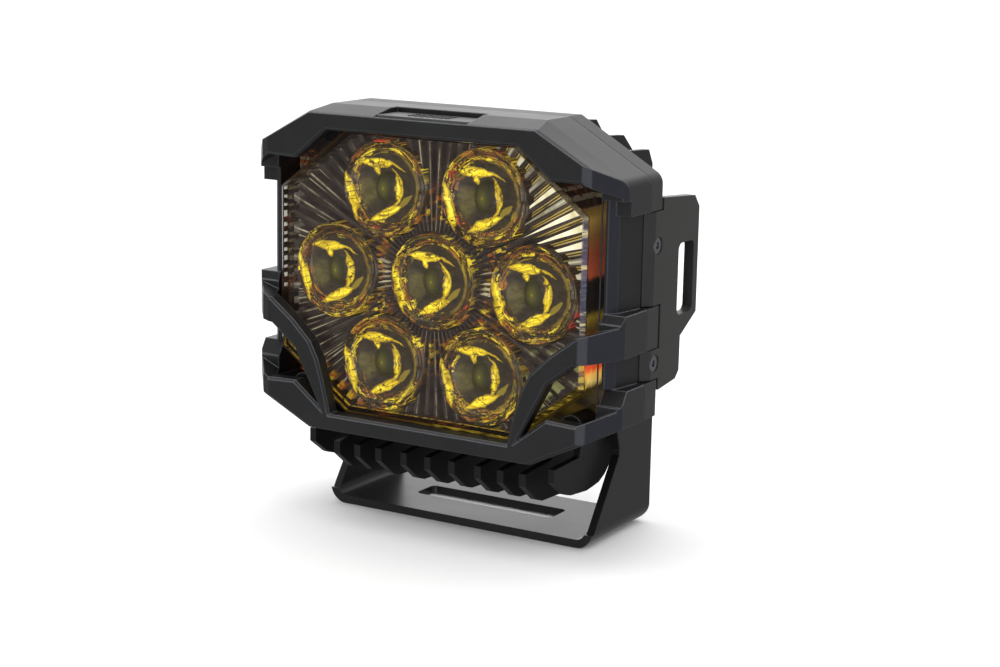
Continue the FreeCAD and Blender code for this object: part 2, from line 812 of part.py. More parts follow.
notch = dim("ear_notch")
finger = dim("ear_front")
ear_outline = [
    (finger, 102.8),
    (notch, 102.8),
    (notch, 106.5),
    (52.4, 104.9),
    (55.6, 101.3),
    (55.7, 69.6),
    (45.4, 63.8),
    (45.3, 53.5),
    (43.0, 51.3),
    (notch, 50.0),
    (notch, 53.7),
    (finger, 53.7),
    (finger, 62.5),
    (notch, 62.5),
    (notch, 75.6),
    (finger, 75.6),
]


def ear(label, side):
    """Flat side plate: two front fingers between the housing's bands and a slotted tab behind."""
    body = new_body(label)
    inner = dim("half_width") - dim("ear_thickness")
    start = inner if side > 0 else -dim("half_width")
    pad(body, "X", start, dim("ear_thickness"), [ear_outline])
    slot_half = dim("ear_slot_width") / 2
    slot_reach = dim("ear_slot_length") / 2
    slot = rectangle(pivot[0] - slot_half, pivot[0] + slot_half, pivot[1] - slot_reach, pivot[1] + slot_reach)
    pocket(body, "X", start - 1.0, Dim(6.0, "6"), [slot])
    dress(body, "Fillet", 2.2, lambda edge: runs_along(edge, "X")
          and 42.0 < edge.CenterOfMass.y < 53.4 and 69.0 < edge.CenterOfMass.z < 93.0)
    hole = dim("ear_screw_radius") + 0.2
    pocket(body, "X", start - 1.0, Dim(6.0, "6"), [(centre, hole) for centre in EAR_SCREWS])
    if side > 0:
        sink_start = dim("half_width") - 1.6
    else:
        sink_start = -dim("half_width") - 1.0
    recess_radius = dim("ear_recess_radius")
    pocket(body, "X", sink_start, Dim(2.6, "2.6"), [(centre, recess_radius) for centre in EAR_SCREWS])
    ramp = [(side * x, y) for x, y in (
        (dim("recess_half_width"), Dim(23.4, "23.4")), (dim("half_width"), Dim(26.9, "26.9")),
        (beyond, Dim(26.9, "26.9")), (beyond, Dim(23.4, "23.4")))]
    pocket(body, "Z", Dim(45.0, "45"), 65.0, [ramp])
    return body


ears = [ear("left_ear", -1), ear("right_ear", 1)]

# ---------------------------------------------------------------- foot bracket

bracket = new_body("u_bracket")
wide = dim("bracket_half_width")
thick = dim("sheet")
channel = [
    (-wide, 96.0), (-wide, 0.0), (wide, 0.0), (wide, 96.0),
    (wide - thick, 96.0), (wide - thick, thick), (-wide + thick, thick), (-wide + thick, 96.0),
]
depth = dim("bracket_rear") - dim("bracket_front")
pad(bracket, "Y", dim("bracket_front"), depth, [channel])
dress(bracket, "Fillet", dim("bend_radius"), lambda edge: runs_along(edge, "Y")
      and edge.CenterOfMass.z < 0.01)
dress(bracket, "Fillet", dim("bend_radius") - thick, lambda edge: runs_along(edge, "Y")
      and 0.1 < edge.CenterOfMass.z < 10.0
      and abs(edge.CenterOfMass.x) < DIMENSIONS["bracket_half_width"] - 2.4)

# Side view of the arms: everything in front, behind and above them is cut away.
lobe = dim("arm_lobe_radius")
front_cut = [
    (dim("bracket_front") - 1.0, 4.4),
    (25.9, 4.4),
    (40.9, 25.8),
    (40.9, 27.6),
    (39.2, 32.6),
    (39.2, 74.0),
    (pivot[0] - lobe * 0.924, pivot[1] - lobe * 0.383),
    (pivot[0] - lobe, pivot[1]),
    (pivot[0] - lobe * 0.707, pivot[1] + lobe * 0.707),
    (pivot[0], pivot[1] + lobe),
    (pivot[0] + lobe * 0.707, pivot[1] + lobe * 0.707),
    (pivot[0] + lobe, pivot[1]),
    (dim("bracket_rear"), 64.0),
    (dim("bracket_rear") + 1.0, 64.0),
    (dim("bracket_rear") + 1.0, 97.0),
    (dim("bracket_front") - 1.0, 97.0),
]
pocket(bracket, "X", -wide - 1.0, wide * 2 + 2.0, [front_cut])
# Rounded lower rear corner of the sheet, as seen from the side.
corner = [(dim("bracket_rear") + 0.1, -0.1), (dim("bracket_rear") + 0.1, 4.6)]
for step in range(7):
    angle = math.radians(15.0 * step)
    corner.append((dim("bracket_rear") - 4.6 + 4.6 * math.cos(angle), 4.6 - 4.6 * math.sin(angle)))
corner.append((dim("bracket_rear") - 4.6, -0.1))
pocket(bracket, "X", -wide - 1.0, wide * 2 + 2.0, [corner])

slot_wide = dim("base_slot_length") / 2
slot_deep = dim("base_slot_width") / 2
slot_middle = dim("base_slot_middle")
pocket(bracket, "Z", Dim(-1.0, "-1"), thick + 2.0, [
    rectangle(-slot_wide, slot_wide, slot_middle - slot_deep, slot_middle + slot_deep)])
dress(bracket, "Fillet", 1.8, lambda edge: runs_along(edge, "Z")
      and spans(edge, "Z", -0.1, 2.6)
      and 38.0 < edge.CenterOfMass.y < 52.0 and abs(edge.CenterOfMass.x) < 26.0)
pocket(bracket, "X", -wide - 1.0, wide * 2 + 2.0, [(pivot, dim("pivot_hole_radius"))])

# ---------------------------------------------------------------- fasteners and fittings

DIRECTIONS = {
    "+X": FreeCAD.Rotation(Vector(0, 1, 0), 90),
    "-X": FreeCAD.Rotation(Vector(0, 1, 0), -90),
    "+Y": FreeCAD.Rotation(Vector(1, 0, 0), -90),
    "-Y": FreeCAD.Rotation(Vector(1, 0, 0), 90),
}
UNIT = {"+X": Vector(1, 0, 0), "-X": Vector(-1, 0, 0), "+Y": Vector(0, 1, 0), "-Y": Vector(0, -1, 0)}


def place(target, direction, seat_point, shift):
    """Point an object's own axis along a direction, at a distance from its seat."""
    offset = [component * shift for component in UNIT[direction]]
    target.Placement = FreeCAD.Placement(Vector(0, 0, 0), DIRECTIONS[direction])
    for name, seat_part, move in zip("xyz", seat_point, offset):
        item = seat_part + move
        if name == "y":
            item = item - dim("front_offset")
        tie(target, "Placement.Base.%s" % name, item)


def cylinder(direction, seat_point, shift, radius, height):
    item = doc.addObject("Part::Cylinder", "Cylinder")
    tie(item, "Radius", radius)
    tie(item, "Height", height)
    place(item, direction, seat_point, shift)
    return item


def hexagon(direction, seat_point, shift, across_corners, height):
    item = doc.addObject("Part::Prism", "Hexagon")
    item.Polygon = 6
    tie(item, "Circumradius", across_corners)
    tie(item, "Height", height)
    place(item, direction, seat_point, shift)
    return item


def fused(items):
    result = doc.addObject("Part::MultiFuse", "Fused")
    result.Shapes = items
    return result


def gathered(label, items):
    """Several equal pieces under one name."""
    result = doc.addObject("Part::Compound", label)
    result.Links = items
    result.Label = label
    return result


def socket_screw(direction, seat_point, head_radius, head_height, shank_radius, shank_length, key_radius):
    """Head out along the direction, shank back from the seat, with a hexagon socket."""
    head = cylinder(direction, seat_point, 0.0, head_radius, head_height)
    shank = cylinder(direction, seat_point, -1.0 * shank_length, shank_radius, shank_length + 0.2)
    socket = hexagon(direction, seat_point, head_height * 0.4, key_radius, head_height)
    return cut(fused([head, shank]), socket)


def washer(direction, seat_point, shift, outer, inner, thickness):
    body = cylinder(direction, seat_point, shift, outer, thickness)
    hole = cylinder(direction, seat_point, shift - 1.0, inner, thickness + 2.0)
    return cut(body, hole)


guard_screw_seat = dim("housing_rear") - 4.2
guard_screws = gathered("guard_screws", [
    socket_screw("+Y", (Dim(x, "%.2f" % x), guard_screw_seat, Dim(z, "%.2f" % z)),
                 3.5, 3.8, dim("guard_screw_radius"), 16.0, 1.73)
    for x, z in GUARD_SCREWS])

ear_screw_seat = dim("half_width") - 1.6
ear_screw_list = []
for direction, sign in (("+X", 1.0), ("-X", -1.0)):
    for y, z in EAR_SCREWS:
        ear_screw_list.append(socket_screw(
            direction, (ear_screw_seat * sign, Dim(y, "%.2f" % y), Dim(z, "%.2f" % z)),
            dim("ear_recess_radius") - 0.15, 1.3, dim("ear_screw_radius"), 8.6, 1.2))
ear_screws = gathered("ear_screws", ear_screw_list)

board_screws = gathered("board_screws", [
    socket_screw("-Y", (Dim(x, "%.2f" % x), dim("board_front"), Dim(z, "%.2f" % z)),
                 2.6, 1.4, 1.5, 3.6, 1.1)
    for x, z in BOARD_SCREWS])

# Pivot stack on each side: arm, flat washer, spring washer, bolt head.
bolt_list = []
washer_list = []
spring_list = []
arm_face = dim("bracket_half_width") + 0.3
for direction, sign in (("+X", 1.0), ("-X", -1.0)):
    seat_point = (arm_face * sign, pivot[0], pivot[1])
    washer_list.append(washer(direction, seat_point, 0.0, 8.0, 4.2, 1.6))
    spring_list.append(washer(direction, seat_point, 1.6, 7.0, 4.2, 2.0))
    bolt_list.append(socket_screw(
        direction, ((arm_face + 3.6) * sign, pivot[0], pivot[1]),
        7.0, 4.4, dim("pivot_bolt_radius"), 16.5, 2.9))
pivot_bolts = gathered("pivot_bolts", bolt_list)
pivot_washers = gathered("pivot_washers", washer_list)
spring_washers = gathered("spring_washers", spring_list)

# Light-emitting packages in front of the board, one behind each optic.
emitters = []
for x, z in OPTICS.values():
    chip = doc.addObject("Part::Box", "Chip")
    tie(chip, "Length", 3.6)
    tie(chip, "Width", 0.9)
    tie(chip, "Height", 3.6)
    tie(chip, "Placement.Base.x", x - 1.8)
    tie(chip, "Placement.Base.y", dim("board_front") - 0.9 - dim("front_offset"))
    tie(chip, "Placement.Base.z", z - 1.8)
    dome = doc.addObject("Part::Sphere", "Dome")
    tie(dome, "Radius", 1.5)
    tie(dome, "Placement.Base.x", x)
    tie(dome, "Placement.Base.y", dim("board_front") - 1.5 - dim("front_offset"))
    tie(dome, "Placement.Base.z", z)
    emitters.append(fused([chip, dome]))
led_emitters = gathered("led_emitters", emitters)

# Cable gland with a free bore, and the breather beside it.
block_face = dim("block_rear")
gland_seat = (Dim(CABLE[0], "%.2f" % CABLE[0]), block_face, Dim(CABLE[1], "%.2f" % CABLE[1]))
gland_body = fused([
    cylinder("+Y", gland_seat, -3.0, 6.0, 4.0),
    hexagon("+Y", gland_seat, 0.0, 8.0, 5.0),
    cylinder("+Y", gland_seat, 4.5, 6.0, 4.1),
])
cable_gland = cut(gland_body, cylinder("+Y", gland_seat, -4.0, dim("cable_radius"), 24.0))
cable_gland.Label = "cable_gland"
gland_nut = cut(
    fused([hexagon("+Y", gland_seat, 8.6, 7.8, 6.0), cylinder("+Y", gland_seat, 14.0, 6.0, 2.4)]),
    cylinder("+Y", gland_seat, 5.0, dim("cable_radius"), 20.0))
gland_nut.Label = "gland_nut"

vent_seat = (Dim(VENT[0], "%.2f" % VENT[0]), block_face, Dim(VENT[1], "%.2f" % VENT[1]))
breather = fused([
    cylinder("+Y", vent_seat, -3.0, 4.0, 3.5),
    hexagon("+Y", vent_seat, 0.0, 6.4, 2.6),
    cylinder("+Y", vent_seat, 2.4, 4.6, 2.2),
])
breather.Label = "breather"

# ---------------------------------------------------------------- check and export

NODES = [
    bracket, housing, centre_fins, side_fins, corner_fins, guard, badge, lens, gasket, reflector,
    *optics, led_emitters, board, thermal_pad, spreader, driver, *ears, ear_screws, guard_screws,
    board_screws, pivot_bolts, pivot_washers, spring_washers, cable_gland, gland_nut, breather,
]

doc.recompute()
for item in doc.Objects:
    if "Invalid" in item.State or "Error" in item.State:
        raise RuntimeError("feature failed: %s %s" % (item.Label, item.State))

os.makedirs("parts", exist_ok=True)
for item in NODES:
    shape = item.Shape
    if shape.isNull() or not shape.isValid():
        raise RuntimeError("bad shape: " + item.Label)
    shape.exportStep("parts/%s.step" % item.Label)
    print("%-20s solids %2d faces %4d volume %9.1f" % (
        item.Label, len(shape.Solids), len(shape.Faces), shape.Volume))
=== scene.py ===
import math

import bmesh
import bpy
from mathutils import Matrix, Vector


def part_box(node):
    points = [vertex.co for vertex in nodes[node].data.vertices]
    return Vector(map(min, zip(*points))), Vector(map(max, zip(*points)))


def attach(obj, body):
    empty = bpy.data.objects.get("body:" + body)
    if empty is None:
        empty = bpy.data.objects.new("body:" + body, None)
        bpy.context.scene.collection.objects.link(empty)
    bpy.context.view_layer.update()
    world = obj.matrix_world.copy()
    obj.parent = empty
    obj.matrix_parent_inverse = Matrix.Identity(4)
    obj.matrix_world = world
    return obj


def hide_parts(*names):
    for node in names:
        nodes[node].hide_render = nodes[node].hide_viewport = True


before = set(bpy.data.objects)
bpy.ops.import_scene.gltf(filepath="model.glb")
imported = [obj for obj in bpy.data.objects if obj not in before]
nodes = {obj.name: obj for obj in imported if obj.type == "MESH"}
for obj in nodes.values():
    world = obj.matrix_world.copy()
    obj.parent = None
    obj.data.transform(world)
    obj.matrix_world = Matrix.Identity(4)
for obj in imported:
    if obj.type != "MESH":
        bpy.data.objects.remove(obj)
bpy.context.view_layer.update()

# Looks for a square LED fog light with an amber lens. Metres, in the row frame: X across the lamp,
# -Y the way it shines, Z up. MM turns millimetres into metres.
MM = 0.001
scene = bpy.context.scene


# ---------------------------------------------------------------- camera

# Camera fitted to the photograph: place in metres, angles in degrees, lens and sensor in millimetres.
CAMERA_PLACE = (0.32112, -0.52967, 0.18950)
AZIMUTH = 30.41
ELEVATION = 11.88
ROLL = 1.11
FOCAL_LENGTH = 74.68
SENSOR_WIDTH = 36.0


def aim_axes(azimuth, elevation, roll):
    """Right, up and backward directions of a camera seen from an azimuth and elevation, rolled."""
    az, el, ro = (math.radians(a) for a in (azimuth, elevation, roll))
    back = Vector((math.sin(az) * math.cos(el), -math.cos(az) * math.cos(el), math.sin(el)))
    right = (-back).cross(Vector((0, 0, 1))).normalized()
    up = right.cross(-back)
    return right * math.cos(ro) + up * math.sin(ro), up * math.cos(ro) - right * math.sin(ro), back


def add_camera(place, azimuth, elevation, roll, lens):
    right, up, back = aim_axes(azimuth, elevation, roll)
    data = bpy.data.cameras.new("camera")
    data.sensor_width = SENSOR_WIDTH
    data.lens = lens
    data.clip_start = 0.01
    data.clip_end = 50.0
    camera = bpy.data.objects.new("camera", data)
    scene.collection.objects.link(camera)
    rows = [(right[i], up[i], back[i], place[i]) for i in range(3)]
    camera.matrix_world = Matrix((rows[0], rows[1], rows[2], (0, 0, 0, 1)))
    scene.camera = camera


add_camera(CAMERA_PLACE, AZIMUTH, ELEVATION, ROLL, FOCAL_LENGTH)


# ---------------------------------------------------------------- small node language


class Sock:
    """A shader node output that can be combined with + - * / and a few functions."""

    def __init__(self, tree, socket):
        self.tree = tree
        self.socket = socket

    def math(self, operation, *others):
        node = self.tree.nodes.new("ShaderNodeMath")
        node.operation = operation
        self.tree.links.new(self.socket, node.inputs[0])
        for index, other in enumerate(others, start=1):
            put(self.tree, node.inputs[index], other)
        return Sock(self.tree, node.outputs[0])

    def __add__(self, other):
        return self.math("ADD", other)

    def __sub__(self, other):
        return self.math("SUBTRACT", other)

    def __rsub__(self, other):
        return (self * -1.0) + other

    def __mul__(self, other):
        return self.math("MULTIPLY", other)

    def __truediv__(self, other):
        return self.math("DIVIDE", other)

    def low(self, other):
        return self.math("MINIMUM", other)

    def high(self, other):
        return self.math("MAXIMUM", other)

    def size(self):
        return self.math("ABSOLUTE")

    def root(self):
        return self.math("SQRT")

    def rise(self, start, end):
        """0 at start, 1 at end, smooth in between. Falls if end is below start."""
        node = self.tree.nodes.new("ShaderNodeMapRange")
        node.interpolation_type = "SMOOTHSTEP"
        falls = end < start
        self.tree.links.new(self.socket, node.inputs["Value"])
        node.inputs["From Min"].default_value = min(start, end)
        node.inputs["From Max"].default_value = max(start, end)
        node.inputs["To Min"].default_value = 1.0 if falls else 0.0
        node.inputs["To Max"].default_value = 0.0 if falls else 1.0
        return Sock(self.tree, node.outputs["Result"])

    def band(self, start, full, fall, end):
        """0 up to start, 1 from full to fall, 0 again from end."""
        return self.rise(start, full) * self.rise(end, fall)

    def near(self, value, outer, inner):
        """1 within inner of a value, 0 beyond outer."""
        return (self - value).size().rise(outer, inner)


def put(tree, target, item):
    """Link a Sock to an input, or set the input's value."""
    if isinstance(item, Sock):
        tree.links.new(item.socket, target)
    elif isinstance(item, (tuple, list)) and len(item) == 3 and len(target.default_value) == 4:
        target.default_value = (*item, 1.0)
    else:
        target.default_value = item


def vector_of(tree, x, y, z):
    node = tree.nodes.new("ShaderNodeCombineXYZ")
    for target, item in zip(node.inputs, (x, y, z)):
        put(tree, target, item)
    return Sock(tree, node.outputs[0])


def split(tree, vector):
    node = tree.nodes.new("ShaderNodeSeparateXYZ")
    tree.links.new(vector.socket, node.inputs[0])
    return [Sock(tree, out) for out in node.outputs]


def attribute(tree, name):
    node = tree.nodes.new("ShaderNodeAttribute")
    node.attribute_name = name
    return Sock(tree, node.outputs["Vector"])


def row_place(tree):
    """Place in the row frame, in metres."""
    node = tree.nodes.new("ShaderNodeTexCoord")
    return Sock(tree, node.outputs["Object"])


def noise(tree, vector, scale, detail=3.0, rough=0.5, colour=False, warp=0.0):
    node = tree.nodes.new("ShaderNodeTexNoise")
    tree.links.new(vector.socket, node.inputs["Vector"])
    node.inputs["Scale"].default_value = scale
    node.inputs["Detail"].default_value = detail
    node.inputs["Roughness"].default_value = rough
    node.inputs["Distortion"].default_value = warp
    return Sock(tree, node.outputs["Color" if colour else "Fac"])


def voronoi(tree, vector, scale, feature="F1", output="Distance"):
    node = tree.nodes.new("ShaderNodeTexVoronoi")
    node.feature = feature
    tree.links.new(vector.socket, node.inputs["Vector"])
    node.inputs["Scale"].default_value = scale
    return Sock(tree, node.outputs[output])


def ramp(tree, factor, stops, hard=False):
    """Colours at places from 0 to 1, in steps if hard."""
    node = tree.nodes.new("ShaderNodeValToRGB")
    tree.links.new(factor.socket, node.inputs[0])
    line = node.color_ramp
    line.interpolation = "CONSTANT" if hard else "LINEAR"
    while len(line.elements) < len(stops):
        line.elements.new(0.5)
    for element, (at, colour) in zip(line.elements, stops):
        element.position = at
        element.color = (*colour, 1.0)
    return Sock(tree, node.outputs["Color"])


def mix(tree, factor, a, b):
    node = tree.nodes.new("ShaderNodeMix")
    node.data_type = "RGBA"
    put(tree, node.inputs["Factor"], factor)
    put(tree, node.inputs["A"], a)
    put(tree, node.inputs["B"], b)
    return Sock(tree, node.outputs["Result"])


def bevelled(tree, radius):
    """Normal that is softened along edges, as if they had a radius."""
    node = tree.nodes.new("ShaderNodeBevel")
    node.samples = 4
    node.inputs["Radius"].default_value = radius
    return Sock(tree, node.outputs[0])


def dot(tree, first, second):
    """Dot product of a vector with another one or with a fixed direction."""
    node = tree.nodes.new("ShaderNodeVectorMath")
    node.operation = "DOT_PRODUCT"
    tree.links.new(first.socket, node.inputs[0])
    put(tree, node.inputs[1], second)
    return Sock(tree, node.outputs["Value"])


def turned(tree, soft):
    """How far a softened normal has turned away from the flat face: 0 where it hasn't."""
    flat = tree.nodes.new("ShaderNodeNewGeometry")
    return 1.0 - dot(tree, soft, Sock(tree, flat.outputs["True Normal"]))


def bump(tree, height, strength, distance, normal=None):
    node = tree.nodes.new("ShaderNodeBump")
    node.inputs["Strength"].default_value = strength
    node.inputs["Distance"].default_value = distance
    tree.links.new(height.socket, node.inputs["Height"])
    if normal is not None:
        tree.links.new(normal.socket, node.inputs["Normal"])
    return Sock(tree, node.outputs[0])


def new_material(name):
    material = bpy.data.materials.new(name)
    material.use_nodes = True
    tree = material.node_tree
    tree.nodes.clear()
    return material, tree


def principled(tree, **values):
    node = tree.nodes.new("ShaderNodeBsdfPrincipled")
    for key, item in values.items():
        put(tree, node.inputs[key.replace("_", " ")], item)
    return Sock(tree, node.outputs[0])


def blend(tree, factor, first, second):
    """Mix of two shaders."""
    node = tree.nodes.new("ShaderNodeMixShader")
    for target, item in zip(node.inputs, (factor, first, second)):
        tree.links.new(item.socket, target)
    return Sock(tree, node.outputs[0])


def finish_with(tree, shader):
    output = tree.nodes.new("ShaderNodeOutputMaterial")
    tree.links.new(shader.socket, output.inputs["Surface"])


# ---------------------------------------------------------------- materials for hard parts

INK = (0.008, 0.008, 0.009)
INK_BLUR = 0.02 * MM
# The badge's studs end at the top of its box. Only their tops are inked.
BADGE_INK_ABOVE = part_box("badge_plate")[1].z - 0.13 * MM


def coated(name, colour, fleck_and_edge_sheen, rough, grain, depth, edge, metal=0.0, level=0.5,
           dark_above=None, edge_sheen=None):
    """Painted or moulded surface: fine grain, soft mottling, and a painted highlight along softened edges.

    grain is the noise's scale. depth is the bump's distance and edge the radius of softened edges,
    both in millimetres. Softened edges are lightened as a painted highlight: towards the given edge
    colour, most of all where they face up, or else towards the fleck colour. Above the
    height dark_above the surface is inked.
    """
    material, tree = new_material(name)
    place = row_place(tree)
    cloud = noise(tree, place, 55.0, 4.0, 0.6)
    fine = noise(tree, place, grain, 2.0, 0.55)
    flecks = noise(tree, place, grain * 0.45, 3.0, 0.7)
    base = mix(tree, cloud.rise(0.35, 0.7), colour, tuple(c * 1.22 for c in colour))
    base = mix(tree, flecks.rise(0.62, 0.78) * 0.35, base, fleck_and_edge_sheen)
    soft = bevelled(tree, edge * MM)
    # Painted highlight: softened edges are lightened, most where they face up, as if light caught them.
    edge_sheen_share = turned(tree, soft).rise(0.006, 0.09)
    if edge_sheen is None:
        base = mix(tree, edge_sheen_share * 0.8, base, fleck_and_edge_sheen)
    else:
        upward = split(tree, soft)[2].rise(0.05, 0.45)
        base = mix(tree, edge_sheen_share * (upward * 0.8 + 0.2), base, edge_sheen)
    if dark_above is not None:
        inked = split(tree, place)[2].rise(dark_above - INK_BLUR, dark_above + INK_BLUR)
        base = mix(tree, inked, base, INK)
    height = fine * 0.7 + flecks * 0.3
    normal = bump(tree, height, 0.35, depth * MM, soft)
    roughness = cloud * 0.12 + fine * 0.10 + (rough - 0.11)
    shader = principled(tree, Base_Color=base, Roughness=roughness, Metallic=metal,
                        Specular_IOR_Level=level, Normal=normal)
    finish_with(tree, shader)
    return material


def brushed(name, colour, rough, scale, stretch):
    """Bare or plated metal with fine lines, packed closest along the axis that stretch favours."""
    material, tree = new_material(name)
    x, y, z = split(tree, row_place(tree))
    lines = noise(tree, vector_of(tree, x * stretch[0], y * stretch[1], z * stretch[2]), scale, 3.0, 0.6)
    cloud = noise(tree, row_place(tree), 160.0, 3.0, 0.5)
    base = mix(tree, cloud, tuple(c * 0.78 for c in colour), colour)
    normal = bump(tree, lines, 0.25, 0.03 * MM, bevelled(tree, 0.15 * MM))
    shader = principled(tree, Base_Color=base, Roughness=lines * 0.25 + (rough - 0.12), Metallic=1.0,
                        Normal=normal)
    finish_with(tree, shader)
    return material


# Each finish's second colour is for its flecks and also its painted edge highlight. The guard's last colour
# is its painted highlight on up-facing edges.
GUARD = coated("guard_black", (0.0100, 0.0102, 0.0108), (0.046, 0.048, 0.054), 0.38, 2600.0, 0.012, 0.55,
               level=0.34, edge_sheen=(0.17, 0.175, 0.19))
HOUSING = coated("housing_coat", (0.0205, 0.0208, 0.0182), (0.042, 0.042, 0.037), 0.44, 2100.0, 0.02, 0.4,
                 level=0.34)
EAR = coated("ear_coat", (0.021, 0.021, 0.0185), (0.044, 0.044, 0.039), 0.42, 2100.0, 0.02, 0.35,
             level=0.36)
FINS = coated("fin_coat", (0.0052, 0.0052, 0.0048), (0.018, 0.018, 0.016), 0.44, 2100.0, 0.02, 0.3,
              level=0.26)
BRACKET = coated("bracket_coat", (0.0075, 0.0075, 0.0075), (0.026, 0.026, 0.026), 0.32, 2300.0, 0.014, 0.35,
                 level=0.30)
BADGE = coated("badge_grey", (0.085, 0.085, 0.083), (0.13, 0.13, 0.125), 0.5, 2600.0, 0.02, 0.1,
               dark_above=BADGE_INK_ABOVE)
RUBBER = coated("gasket_rubber", (0.012, 0.012, 0.012), (0.03, 0.03, 0.03), 0.75, 1500.0, 0.03, 0.2)
NYLON = coated("gland_nylon", (0.012, 0.012, 0.013), (0.035, 0.035, 0.037), 0.42, 1800.0, 0.02, 0.3)
BOARD = coated("board_mask", (0.012, 0.075, 0.03), (0.05, 0.16, 0.07), 0.35, 900.0, 0.03, 0.1)
PAD = coated("pad_grey", (0.30, 0.30, 0.31), (0.42, 0.42, 0.42), 0.8, 1400.0, 0.04, 0.1)
OXIDE = coated("screw_oxide", (0.16, 0.16, 0.165), (0.30, 0.30, 0.30), 0.30, 3000.0, 0.01, 0.18, metal=0.9)
ZINC = brushed("washer_zinc", (0.58, 0.58, 0.57), 0.36, 900.0, (1.0, 8.0, 1.0))
ALUMINIUM = brushed("spreader_aluminium", (0.78, 0.78, 0.79), 0.38, 500.0, (1.0, 1.0, 12.0))


# ---------------------------------------------------------------- lens

LENS_LOW, LENS_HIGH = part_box("lens")
LENS_SIDE = LENS_HIGH.x - 3.0 * MM
TOOTH_PITCH = 2.7 * MM
# Light in the right wall from its foot (0) to its top (1): gold and fire, dull gold, a dark patch,
# red-brown and dull gold again.
RIGHT_WALL = [
    (0.00, (0.030, 0.020, 0.006)), (0.215, (0.05, 0.03, 0.008)), (0.235, (0.75, 0.55, 0.16)),
    (0.258, (0.95, 0.50, 0.10)), (0.275, (0.85, 0.09, 0.03)), (0.315, (0.45, 0.10, 0.03)),
    (0.40, (0.05, 0.035, 0.012)), (0.440, (0.16, 0.115, 0.018)), (0.462, (0.010, 0.009, 0.008)),
    (0.560, (0.010, 0.009, 0.008)), (0.575, (0.20, 0.045, 0.022)), (0.64, (0.135, 0.034, 0.017)),
    (0.70, (0.105, 0.052, 0.018)), (0.75, (0.16, 0.105, 0.028)), (0.80, (0.085, 0.040, 0.010)),
    (1.00, (0.030, 0.014, 0.005)),
]


def lens_left_wall(tree, place, depth, height, fleck):
    """Painted light in the left wall: smoky with red flecks, the plate's ribs painted as reflections in it,
    ending in small bright teeth.
    """
    x, y, z = split(tree, place)
    blot = noise(tree, vector_of(tree, x, y * 0.6, z + 11.0 * MM), 75.0, 2.0, 0.5)
    wall = mix(tree, blot.rise(0.52, 0.66) * fleck.rise(0.45, 0.6), (0.012, 0.008, 0.006),
               (0.20, 0.050, 0.010))
    wander = noise(tree, vector_of(tree, 0.0, 0.0, z), 150.0, 1.0) * 1.6
    rung = (z * (1.0 / TOOTH_PITCH) + wander).math("FRACT")
    rungs = rung.near(0.5, 0.24, 0.17) * height.band(0.40, 0.43, 0.83, 0.86)
    wall = mix(tree, rungs * fleck.rise(0.35, 0.5) * 0.5, wall, (0.16, 0.135, 0.09))
    tooth = rungs * depth.band(2.2 * MM, 2.4 * MM, 3.7 * MM, 4.2 * MM) * fleck.rise(0.30, 0.42)
    tooth = tooth * (x - LENS_LOW.x).band(1.2 * MM, 1.5 * MM, 4.0 * MM, 4.4 * MM)
    return mix(tree, tooth, wall, (0.95, 0.93, 0.86))


def lens_walls(tree, place, depth, height, streaks):
    """Light in the walls: smoky at the left, fire and gold at the right, gold along the foot."""
    x = split(tree, place)[0]
    fleck = noise(tree, place, 620.0, 2.0, 0.6)
    left = lens_left_wall(tree, place, depth, height, fleck)
    right = ramp(tree, height + (streaks - 0.5) * 0.035, RIGHT_WALL)
    glow = mix(tree, x.rise(LENS_SIDE - 3.0 * MM, LENS_SIDE - 1.5 * MM), left, right)
    low_right = x.band(25.0 * MM, 30.0 * MM, LENS_SIDE - 3.5 * MM, LENS_SIDE - 0.5 * MM)
    umber = mix(tree, streaks.rise(0.4, 0.6), (0.016, 0.011, 0.004), (0.07, 0.045, 0.008))
    glow = mix(tree, low_right * height.rise(0.34, 0.24), glow, umber)
    gold = depth.rise(3.6 * MM, 2.6 * MM) * height.rise(0.30, 0.22) * fleck.rise(0.36, 0.56)
    return mix(tree, gold, glow, (0.40, 0.27, 0.025))


def lens_bevel(tree, place, height, corner):
    """Light in the bevel: cool at the right, cream at its upper corner, gold below, brown at the left."""
    x, _, z = split(tree, place)
    dash = noise(tree, vector_of(tree, x * 0.2, 0.0, z), 420.0, 3.0, 0.7)
    cool = ramp(tree, dash, [(0.30, (0.016, 0.015, 0.019)), (0.48, (0.038, 0.038, 0.056)),
                             (0.57, (0.09, 0.09, 0.12)), (0.66, (0.55, 0.47, 0.20))])
    cream = mix(tree, dash.rise(0.4, 0.6), (0.11, 0.085, 0.05), (0.40, 0.35, 0.22))
    gold = mix(tree, dash.rise(0.42, 0.6), (0.03, 0.02, 0.005), (0.42, 0.30, 0.03))
    line = mix(tree, corner, cool, cream)
    line = mix(tree, height.rise(0.36, 0.30), line, gold)
    return mix(tree, x.rise(5.0 * MM, -5.0 * MM), line, (0.035, 0.020, 0.010))


